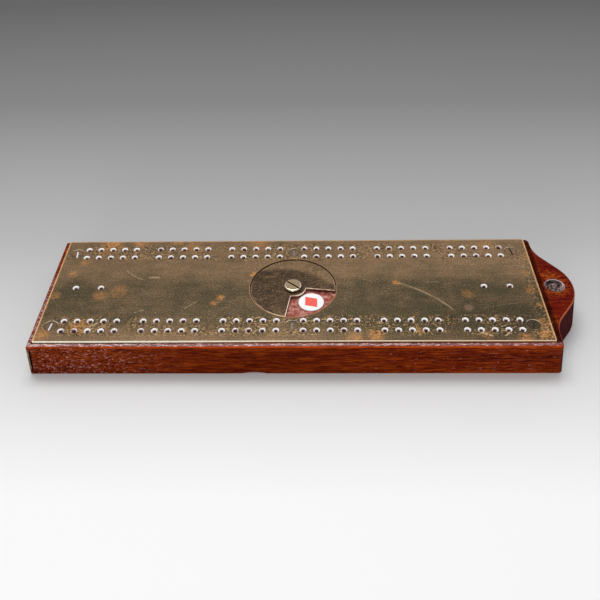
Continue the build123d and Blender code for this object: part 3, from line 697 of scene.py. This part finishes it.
def worn_ends(skin, patchy):
    """Bright lines where the plate is worn along its ends and its back edge."""
    end_line = skin.smooth(skin.math("ABSOLUTE", skin.x), plate_high.x - 1.1, plate_high.x - 0.5)
    back_line = skin.times(skin.smooth(skin.y, plate_high.y - 1.2, plate_high.y - 0.4), 0.6)
    skin.lay(skin.times(skin.most([end_line, back_line]), skin.between(patchy, 0.7, 1.0)), WORN_LINE)


def countersink_light_and_shade(skin):
    """Painted highlight on the metal in the countersinks and painted shade deep down, varying from hole to
    hole.
    """
    uneven = skin.between(skin.noise(skin.place, 0.17), -0.9, 1.9)
    uneven = skin.plus(uneven, skin.times(skin.noise(skin.place, 0.9, detail=3.0), 0.8))
    whiter = skin.times(skin.smooth(skin.x, 40.0, 125.0), skin.smooth(skin.y, 0.0, -20.0))
    depth = skin.plus(skin.z, skin.times(whiter, 0.7), skin.times(uneven, 1.3))
    return skin.ramp(skin.smooth(depth, PLATE_TOP + 1.05, PLATE_TOP - 0.25), COUNTERSINK_LIGHT_STOPS)


def below_face(skin, from_middle):
    """Metal of the plate below its face: countersinks, outer edges with painted highlight and shade, painted
    shade in the screw and dial holes.
    """
    bright = countersink_light_and_shade(skin)
    # painted highlight along the top of the long edges, painted shade below it, and a painted highlight on
    # the right-hand end
    long_edges = skin.smooth(skin.math("ABSOLUTE", skin.y), plate_high.y - 0.9, plate_high.y - 0.4)
    plate_edge_highlight = skin.ramp(skin.smooth(skin.x, -60.0, 130.0), [(0.0, EDGE_HIGHLIGHT_LEFT), (1.0, EDGE_HIGHLIGHT_RIGHT)])
    highlight_foot = skin.between(skin.smooth(skin.x, 20.0, -100.0), PLATE_TOP - 0.6, PLATE_TOP - 1.3)
    shaded = skin.smooth(skin.math("SUBTRACT", skin.z, highlight_foot), 0.1, -0.1)
    bright = skin.mix(long_edges, bright, skin.mix(shaded, plate_edge_highlight, EDGE_SHADE))
    right_end = skin.smooth(skin.x, plate_high.x - 0.9, plate_high.x - 0.4)
    bright = skin.mix(right_end, bright, END_HIGHLIGHT)
    # painted shade in the screw holes and in the gap round the dial
    shaded_holes = [skin.smooth(from_middle, DISC_RADIUS + 0.8, DISC_RADIUS + 0.6)]
    for x, y in SCREW_PLACES:
        shaded_holes.append(skin.smooth(skin.distance(x, y), SCREW_RADIUS + 1.2, SCREW_RADIUS + 0.4))
    return skin.mix(skin.most(shaded_holes), bright, SCREW_DIAL_HOLE_SHADE)


def plate_brass(name):
    """The playing plate: tarnished and painted darker in the middle, bitten, scratched, with painted
    highlights in its holes.
    """
    skin = Skin(name)
    mottle = plate_tone(skin)
    ragged = skin.warped(2.2, 5.0)
    copper_bites(skin, ragged)
    grainy_end(skin, ragged)
    faded_spot(skin)
    grimy_rows(skin)
    scratches(skin)
    patchy = skin.smooth(skin.noise(skin.place, 0.35), 0.40, 0.60)
    from_middle = skin.distance(0.0, 0.0)
    screw_ring_highlights(skin, patchy)
    dial_edge(skin, patchy, from_middle)
    worn_ends(skin, patchy)
    below = skin.smooth(skin.z, PLATE_TOP - 0.02, PLATE_TOP - 0.07)
    skin.lay(below, below_face(skin, from_middle))
    skin.relief = skin.times(skin.relief, skin.rest_of(below))
    return metal(skin, skin.between(mottle, 0.34, 0.48), skin.between(below, 1.0, 0.25))


def window_highlights(skin, radius):
    """Lines of painted highlight along the two straight edges of the window and round its hub."""
    middle = math.radians(WINDOW_MIDDLE)
    half = math.radians(WINDOW_WIDTH / 2)
    out = skin.plus(skin.times(skin.x, math.cos(middle)), skin.times(skin.y, math.sin(middle)))
    aside = skin.plus(skin.times(skin.x, -math.sin(middle)), skin.times(skin.y, math.cos(middle)))
    aside = skin.math("ABSOLUTE", aside)
    from_edge = skin.math("SUBTRACT", skin.times(aside, math.cos(half)), skin.times(out, math.sin(half)))
    past_hub = skin.smooth(radius, WINDOW_HUB - 0.4, WINDOW_HUB)
    straight = skin.times(skin.smooth(from_edge, 0.50, 0.20), past_hub)
    hub = skin.times(
        skin.smooth(radius, WINDOW_HUB - 0.6, WINDOW_HUB - 0.3),
        skin.smooth(from_edge, 0.5, 0.0),
        skin.smooth(out, 0.0, 2.0),
    )
    return skin.most([straight, hub])


def disc_brass(name):
    """The turning disc: tarnished and painted darker but for a lighter crescent, with painted highlights
    along its edges.
    """
    skin = Skin(name)
    # tarnish and painted shade within a wavering parabola; the crescent behind it stays lighter, a painted
    # reflection
    across = skin.math("POWER", skin.math("ABSOLUTE", skin.plus(skin.x, 8.0)), 2.0)
    bound = skin.math("MULTIPLY_ADD", across, -0.015, 16.0)
    wavering = skin.times(skin.noise(skin.place, 0.12, detail=3.0), 5.0)
    from_bound = skin.math("SUBTRACT", skin.plus(bound, 2.5), skin.plus(skin.y, wavering))
    shade_inside = skin.smooth(from_bound, -2.5, 2.5)
    left = skin.between(skin.smooth(skin.x, 20.0, 0.0), 0.80, 1.0)
    mottle = skin.noise(skin.place, 0.09, detail=5.0)
    tarnish_and_shade = skin.math("ADD", skin.times(shade_inside, left), skin.times(mottle, 0.12), clamp=True)
    brushed_tarnish(skin, WARM, DISC_SHADE_TARNISH, tarnish_and_shade)
    rubs = skin.noise(skin.stretch(0.16, 0.5, 0.5), detail=5.0, rough=0.7, warp=0.8)
    skin.lay(skin.times(skin.smooth(rubs, 0.50, 0.66), shade_inside), DISC_RUB, 0.45)

    # painted highlights round the rim and along the edges of the window, broken up here and there
    radius = skin.distance(0.0, 0.0)
    rim = skin.smooth(radius, DISC_RADIUS - 0.45, DISC_RADIUS - 0.20)
    rim = skin.times(rim, skin.between(skin.smooth(skin.y, 18.0, 0.0), 0.35, 1.0))
    worn = skin.between(skin.smooth(skin.noise(skin.place, 0.3), 0.35, 0.6), 0.5, 1.0)
    skin.lay(skin.times(skin.most([window_highlights(skin, radius), rim]), worn), DISC_EDGE_HIGHLIGHT)
    # painted shade along the foot of the disc's edge
    skin.lay(skin.smooth(skin.z, disc_low.z + 0.75, disc_low.z + 0.55), DISC_FOOT_SHADE)
    return metal(skin, skin.between(mottle, 0.32, 0.46))


def face_brass(name):
    """The drawer's face plate, browner than the playing plate and unscratched."""
    skin = Skin(name)
    mottle = skin.smooth(skin.noise(skin.place, 0.06, detail=6.0, rough=0.6), 0.36, 0.66)
    brushed_tarnish(skin, FACE_WARM, FACE_OLIVE, mottle)
    return metal(skin, skin.between(mottle, 0.34, 0.48))


def plate_screw_brass(name):
    """Slotted heads, tarnished like the plate; painted highlight in the slots at the drawer end, painted
    shade in them further along.
    """
    skin = Skin(name)
    mottle = plate_tone(skin)
    nearest = skin.least([skin.distance(*place) for place in SCREW_PLACES])
    skin.lay(skin.smooth(nearest, SCREW_RADIUS - 0.9, SCREW_RADIUS - 0.1), SCREW_GRIME, 0.5)
    in_slot = skin.smooth(skin.z, PLATE_TOP - 0.12, PLATE_TOP - 0.25)
    # painted highlight in the slots at the left, painted shade in those to the right
    skin.lay(in_slot, skin.ramp(skin.smooth(skin.x, -60.0, 70.0), SLOT_LIGHT_STOPS))
    return metal(skin, skin.between(mottle, 0.34, 0.48), skin.between(in_slot, 1.0, 0.5))


def pivot_brass(name):
    """The pivot's pale head: a painted highlight on its rim round a filed face, painted shade in the slot and
    down its side.
    """
    skin = Skin(name)
    radius = skin.distance(0.0, 0.0)
    speckle = skin.noise(skin.place, 1.3, detail=4.0)
    angle = math.radians(FILE_MARKS_ANGLE)
    across = skin.plus(skin.times(skin.x, math.sin(angle)), skin.times(skin.y, math.cos(angle)))
    file_marks = skin.math("SINE", skin.times(across, 9.0))
    skin.coat = skin.shade(PIVOT_FACE, skin.between(speckle, 0.25, 1.65))
    skin.coat = skin.shade(skin.coat, skin.math("MULTIPLY_ADD", file_marks, 0.22, 1.0))
    # painted highlight on the rim, then painted shade in the slot and down the side
    skin.lay(skin.smooth(radius, pivot_high.x - 0.9, pivot_high.x - 0.5), PIVOT_RIM_HIGHLIGHT, 0.9)
    in_slot = skin.smooth(skin.z, pivot_high.z - 0.15, pivot_high.z - 0.35)
    in_slot = skin.times(in_slot, skin.smooth(radius, pivot_high.x - 0.15, pivot_high.x - 0.35))
    skin.lay(in_slot, PIVOT_SLOT_SHADE)
    skin.lay(skin.smooth(skin.z, pivot_high.z - 1.0, pivot_high.z - 1.4), PIVOT_FOOT_SHADE)
    skin.relief = skin.plus(speckle, skin.times(file_marks, 0.4))
    return metal(skin, 0.26, waves=0.0)


def plain_screw_brass(name):
    """Screws that are seldom seen: clean speckled brass."""
    skin = Skin(name)
    speckle = skin.noise(skin.place, 1.3, detail=4.0)
    skin.coat = skin.shade(PLAIN_BRASS, skin.between(speckle, 0.5, 1.4))
    skin.relief = speckle
    return metal(skin, skin.between(speckle, 0.3, 0.5), waves=0.0)


# ----------------------------------------------------------------------- small things

CLOTH_STOPS = [(0.35, (0.24, 0.045, 0.032)), (0.50, (0.38, 0.105, 0.075)), (0.66, (0.66, 0.34, 0.28))]
# waves of the weave, in radians per mm
CLOTH_THREADS = 14.0
BONE_FLECK = (0.50, 0.40, 0.30)
LEATHER_STOPS = [(0.2, (0.16, 0.08, 0.045)), (0.7, (0.09, 0.045, 0.025))]
EBONY_STOPS = [(0.4, (0.010, 0.008, 0.007)), (0.65, (0.045, 0.034, 0.026))]


def faded_cloth(name):
    """Thin red cloth, faded pinkish, with a fine weave."""
    skin = Skin(name)
    warp = skin.math("SINE", skin.times(skin.x, CLOTH_THREADS))
    weft = skin.math("SINE", skin.times(skin.y, CLOTH_THREADS))
    weave = skin.between(skin.times(warp, weft), 0.5, 1.0)
    fade = skin.noise(skin.place, 0.35, detail=4.0, rough=0.65)
    return skin.finish(
        Base_Color=skin.shade(skin.ramp(fade, CLOTH_STOPS), skin.between(weave, 0.85, 1.10)),
        Roughness=0.85,
        Specular_IOR_Level=0.25,
        Normal=skin.bump(weave, 0.03),
    )


def bone(name, shade, white, flecked):
    """Polished white bone with faint grain along X and a few flecks."""
    skin = Skin(name)
    grain = skin.noise(skin.stretch(0.25, 1.8, 1.8), detail=4.0)
    skin.coat = skin.ramp(grain, [(0.35, shade), (0.55, white)])
    flecks = skin.smooth(skin.noise(skin.stretch(0.8, 5.0, 5.0), detail=2.0), 0.66, 0.74)
    skin.lay(flecks, BONE_FLECK, flecked)
    return skin.finish(
        Base_Color=skin.coat,
        Roughness=skin.between(grain, 0.28, 0.43),
        Subsurface_Weight=0.08,
        Subsurface_Scale=0.8 * MM,
        Normal=skin.bump(grain, 0.01),
    )


def wax(name, colour):
    """Coloured wax or lacquer let into the bone."""
    skin = Skin(name)
    cloud = skin.noise(skin.place, 0.9, detail=4.0)
    return skin.finish(
        Base_Color=skin.shade(colour, skin.between(cloud, 0.85, 1.15)),
        Roughness=skin.between(cloud, 0.35, 0.55),
        Normal=skin.bump(cloud, 0.02),
    )


def waxed_leather(name):
    """Pebbled brown leather, for the washer below the disc."""
    skin = Skin(name)
    pebble = skin.cells(skin.warped(1.0, 0.4), 2.2)
    return skin.finish(
        Base_Color=skin.ramp(pebble, LEATHER_STOPS),
        Roughness=0.6,
        Normal=skin.bump(pebble, 0.04),
    )


def black_wood(name):
    """Ebony with a low polish and grain along X."""
    skin = Skin(name)
    grain = skin.noise(skin.stretch(0.15, 2.5, 2.5), detail=5.0)
    return skin.finish(
        Base_Color=skin.ramp(grain, EBONY_STOPS),
        Roughness=skin.between(grain, 0.22, 0.42),
        Coat_Weight=0.3,
        Coat_Roughness=0.15,
        Normal=skin.bump(grain, 0.015),
    )


# ----------------------------------------------------------------------- put on pieces

SUITS = ("diamond", "heart", "spade", "club")
RED_WAX = (0.92, 0.10, 0.07)
BLACK_WAX = (0.02, 0.02, 0.022)


def dress(material, *names):
    """Gives CAD nodes one material."""
    for name in names:
        slots = NODES[name].data.materials
        slots.clear()
        slots.append(material)


def dress_wood():
    dress(polished_mahogany("mahogany_polished"), "case", "bottom_board")
    boards = ("drawer_side_front", "drawer_side_back", "drawer_back", "drawer_bottom", "drawer_divider")
    dress(drawer_wood("mahogany_planed", *PLANED_GRAIN), *boards)
    dress(drawer_wood("mahogany_front", *FRONT_GRAIN), "drawer_front")
    dress(black_wood("ebony"), "pegs_dark")


def dress_brass():
    dress(plate_brass("plate_brass"), "top_plate")
    dress(disc_brass("disc_brass"), "trump_disc")
    dress(face_brass("face_brass"), "drawer_face_plate")
    dress(plate_screw_brass("plate_screw_brass"), "plate_screws")
    dress(plain_screw_brass("hidden_screw_brass"), "bottom_board_screws", "drawer_face_screws")
    dress(pivot_brass("pivot_brass"), "pivot_screw")


def dress_small_things():
    dress(faded_cloth("lining_cloth"), "dial_lining")
    dress(waxed_leather("washer_leather"), "pivot_washer")
    yellowed = bone("bone", shade=(0.80, 0.74, 0.68), white=(0.93, 0.90, 0.87), flecked=0.35)
    dress(yellowed, "pegs_light")
    bleached = bone("white_bone", shade=(0.95, 0.94, 0.93), white=(1.0, 1.0, 1.0), flecked=0.05)
    dress(bleached, *[f"roundel_{suit}" for suit in SUITS])
    dress(wax("red_wax", RED_WAX), "pip_diamond", "pip_heart")
    dress(wax("black_wax", BLACK_WAX), "pip_spade", "pip_club")


# ------------------------------------------------------------------ floor, light, camera

# metres from the middle of the floor to its edges
FLOOR_REACH = 4.0
# places along Y in mm, and how pale the floor is there: a painted falloff of light
FLOOR_NEAR = -170.0
FLOOR_FAR = 480.0
FLOOR_FALLOFF_TONES = [(-120, 0.93), (-63, 0.78), (11, 0.61), (68, 0.47), (130, 0.39), (256, 0.235), (477, 0.135)]

HORIZON = (0.42, 0.42, 0.43, 1.0)
OVERHEAD = (0.61, 0.61, 0.61, 1.0)
# name, place, target, width and height in metres, power in watts
SOFTBOXES = [
    ("key_softbox", (0.0, -0.70, 0.95), (0, 0, 0), 0.5, 0.3, 0.8),
    ("front_softbox", (-0.20, -1.15, 0.16), (0, 0, 0.01), 0.5, 0.2, 4.8),
    ("back_softbox", (-0.12, 0.42, 1.35), (0, 0, 0), 0.9, 0.5, 8.8),
]

# the camera, fitted to the photograph: pixels, then millimetres, then degrees
IMAGE = 600
FOCAL = 785.6
CENTRE = (292.4, 230.0)
SENSOR = 36.0
CAMERA_PLACE = (14.33, -327.3, 311.95)
CAMERA_YAW = 2.393
CAMERA_PITCH = 37.413
CAMERA_ROLL = -1.865


def floor_paper(name):
    """Plain paper with a painted falloff of light: it darkens softly with distance."""
    skin = Skin(name)
    depth = FLOOR_FAR - FLOOR_NEAR
    along = skin.math("MULTIPLY_ADD", skin.y, 1 / depth, -FLOOR_NEAR / depth)
    tones = [((y - FLOOR_NEAR) / depth, (tone, tone, tone)) for y, tone in FLOOR_FALLOFF_TONES]
    return skin.finish(Base_Color=skin.ramp(along, tones), Roughness=0.9, Specular_IOR_Level=0.0)


def make_floor():
    mesh = bpy.data.meshes.new("floor")
    ways = ((-1, -1), (1, -1), (1, 1), (-1, 1))
    corners = [(x * FLOOR_REACH, y * FLOOR_REACH, 0) for x, y in ways]
    mesh.from_pydata(corners, [], [(0, 1, 2, 3)])
    floor = bpy.data.objects.new("floor", mesh)
    bpy.context.scene.collection.objects.link(floor)
    mesh.materials.append(floor_paper("floor_paper"))


def make_sky():
    """An even pale sky, brighter overhead."""
    world = bpy.data.worlds.new("studio")
    bpy.context.scene.world = world
    world.use_nodes = True
    nodes = world.node_tree.nodes
    links = world.node_tree.links
    way = nodes.new("ShaderNodeTexCoord")
    split = nodes.new("ShaderNodeSeparateXYZ")
    ramp = nodes.new("ShaderNodeValToRGB")
    links.new(way.outputs["Generated"], split.inputs[0])
    links.new(split.outputs[2], ramp.inputs[0])
    links.new(ramp.outputs[0], nodes["Background"].inputs["Color"])
    horizon, overhead = ramp.color_ramp.elements
    horizon.color = HORIZON
    overhead.color = OVERHEAD


def make_softbox(name, place, target, width, height, power):
    light = bpy.data.lights.new(name, "AREA")
    light.shape = "RECTANGLE"
    light.size = width
    light.size_y = height
    light.energy = power
    lamp = bpy.data.objects.new(name, light)
    lamp.location = place
    aim = Vector(target) - Vector(place)
    lamp.rotation_mode = "QUATERNION"
    lamp.rotation_quaternion = aim.to_track_quat("-Z", "Y")
    bpy.context.scene.collection.objects.link(lamp)


def make_camera():
    data = bpy.data.cameras.new("camera")
    data.sensor_width = SENSOR
    data.lens = FOCAL * SENSOR / IMAGE
    data.shift_x = (IMAGE / 2 - CENTRE[0]) / IMAGE
    data.shift_y = (CENTRE[1] - IMAGE / 2) / IMAGE
    data.clip_start = 0.01
    camera = bpy.data.objects.new("camera", data)
    turn = Matrix.Rotation(math.radians(CAMERA_YAW), 4, "Z")
    turn = turn @ Matrix.Rotation(math.radians(90 - CAMERA_PITCH), 4, "X")
    turn = turn @ Matrix.Rotation(math.radians(CAMERA_ROLL), 4, "Z")
    camera.matrix_world = Matrix.Translation(Vector(CAMERA_PLACE) * MM) @ turn
    bpy.context.scene.collection.objects.link(camera)
    bpy.context.scene.camera = camera


dress_wood()
dress_brass()
dress_small_things()
make_floor()
make_sky()
for softbox in SOFTBOXES:
    make_softbox(*softbox)
make_camera()
bpy.context.scene.view_settings.view_transform = "Standard"
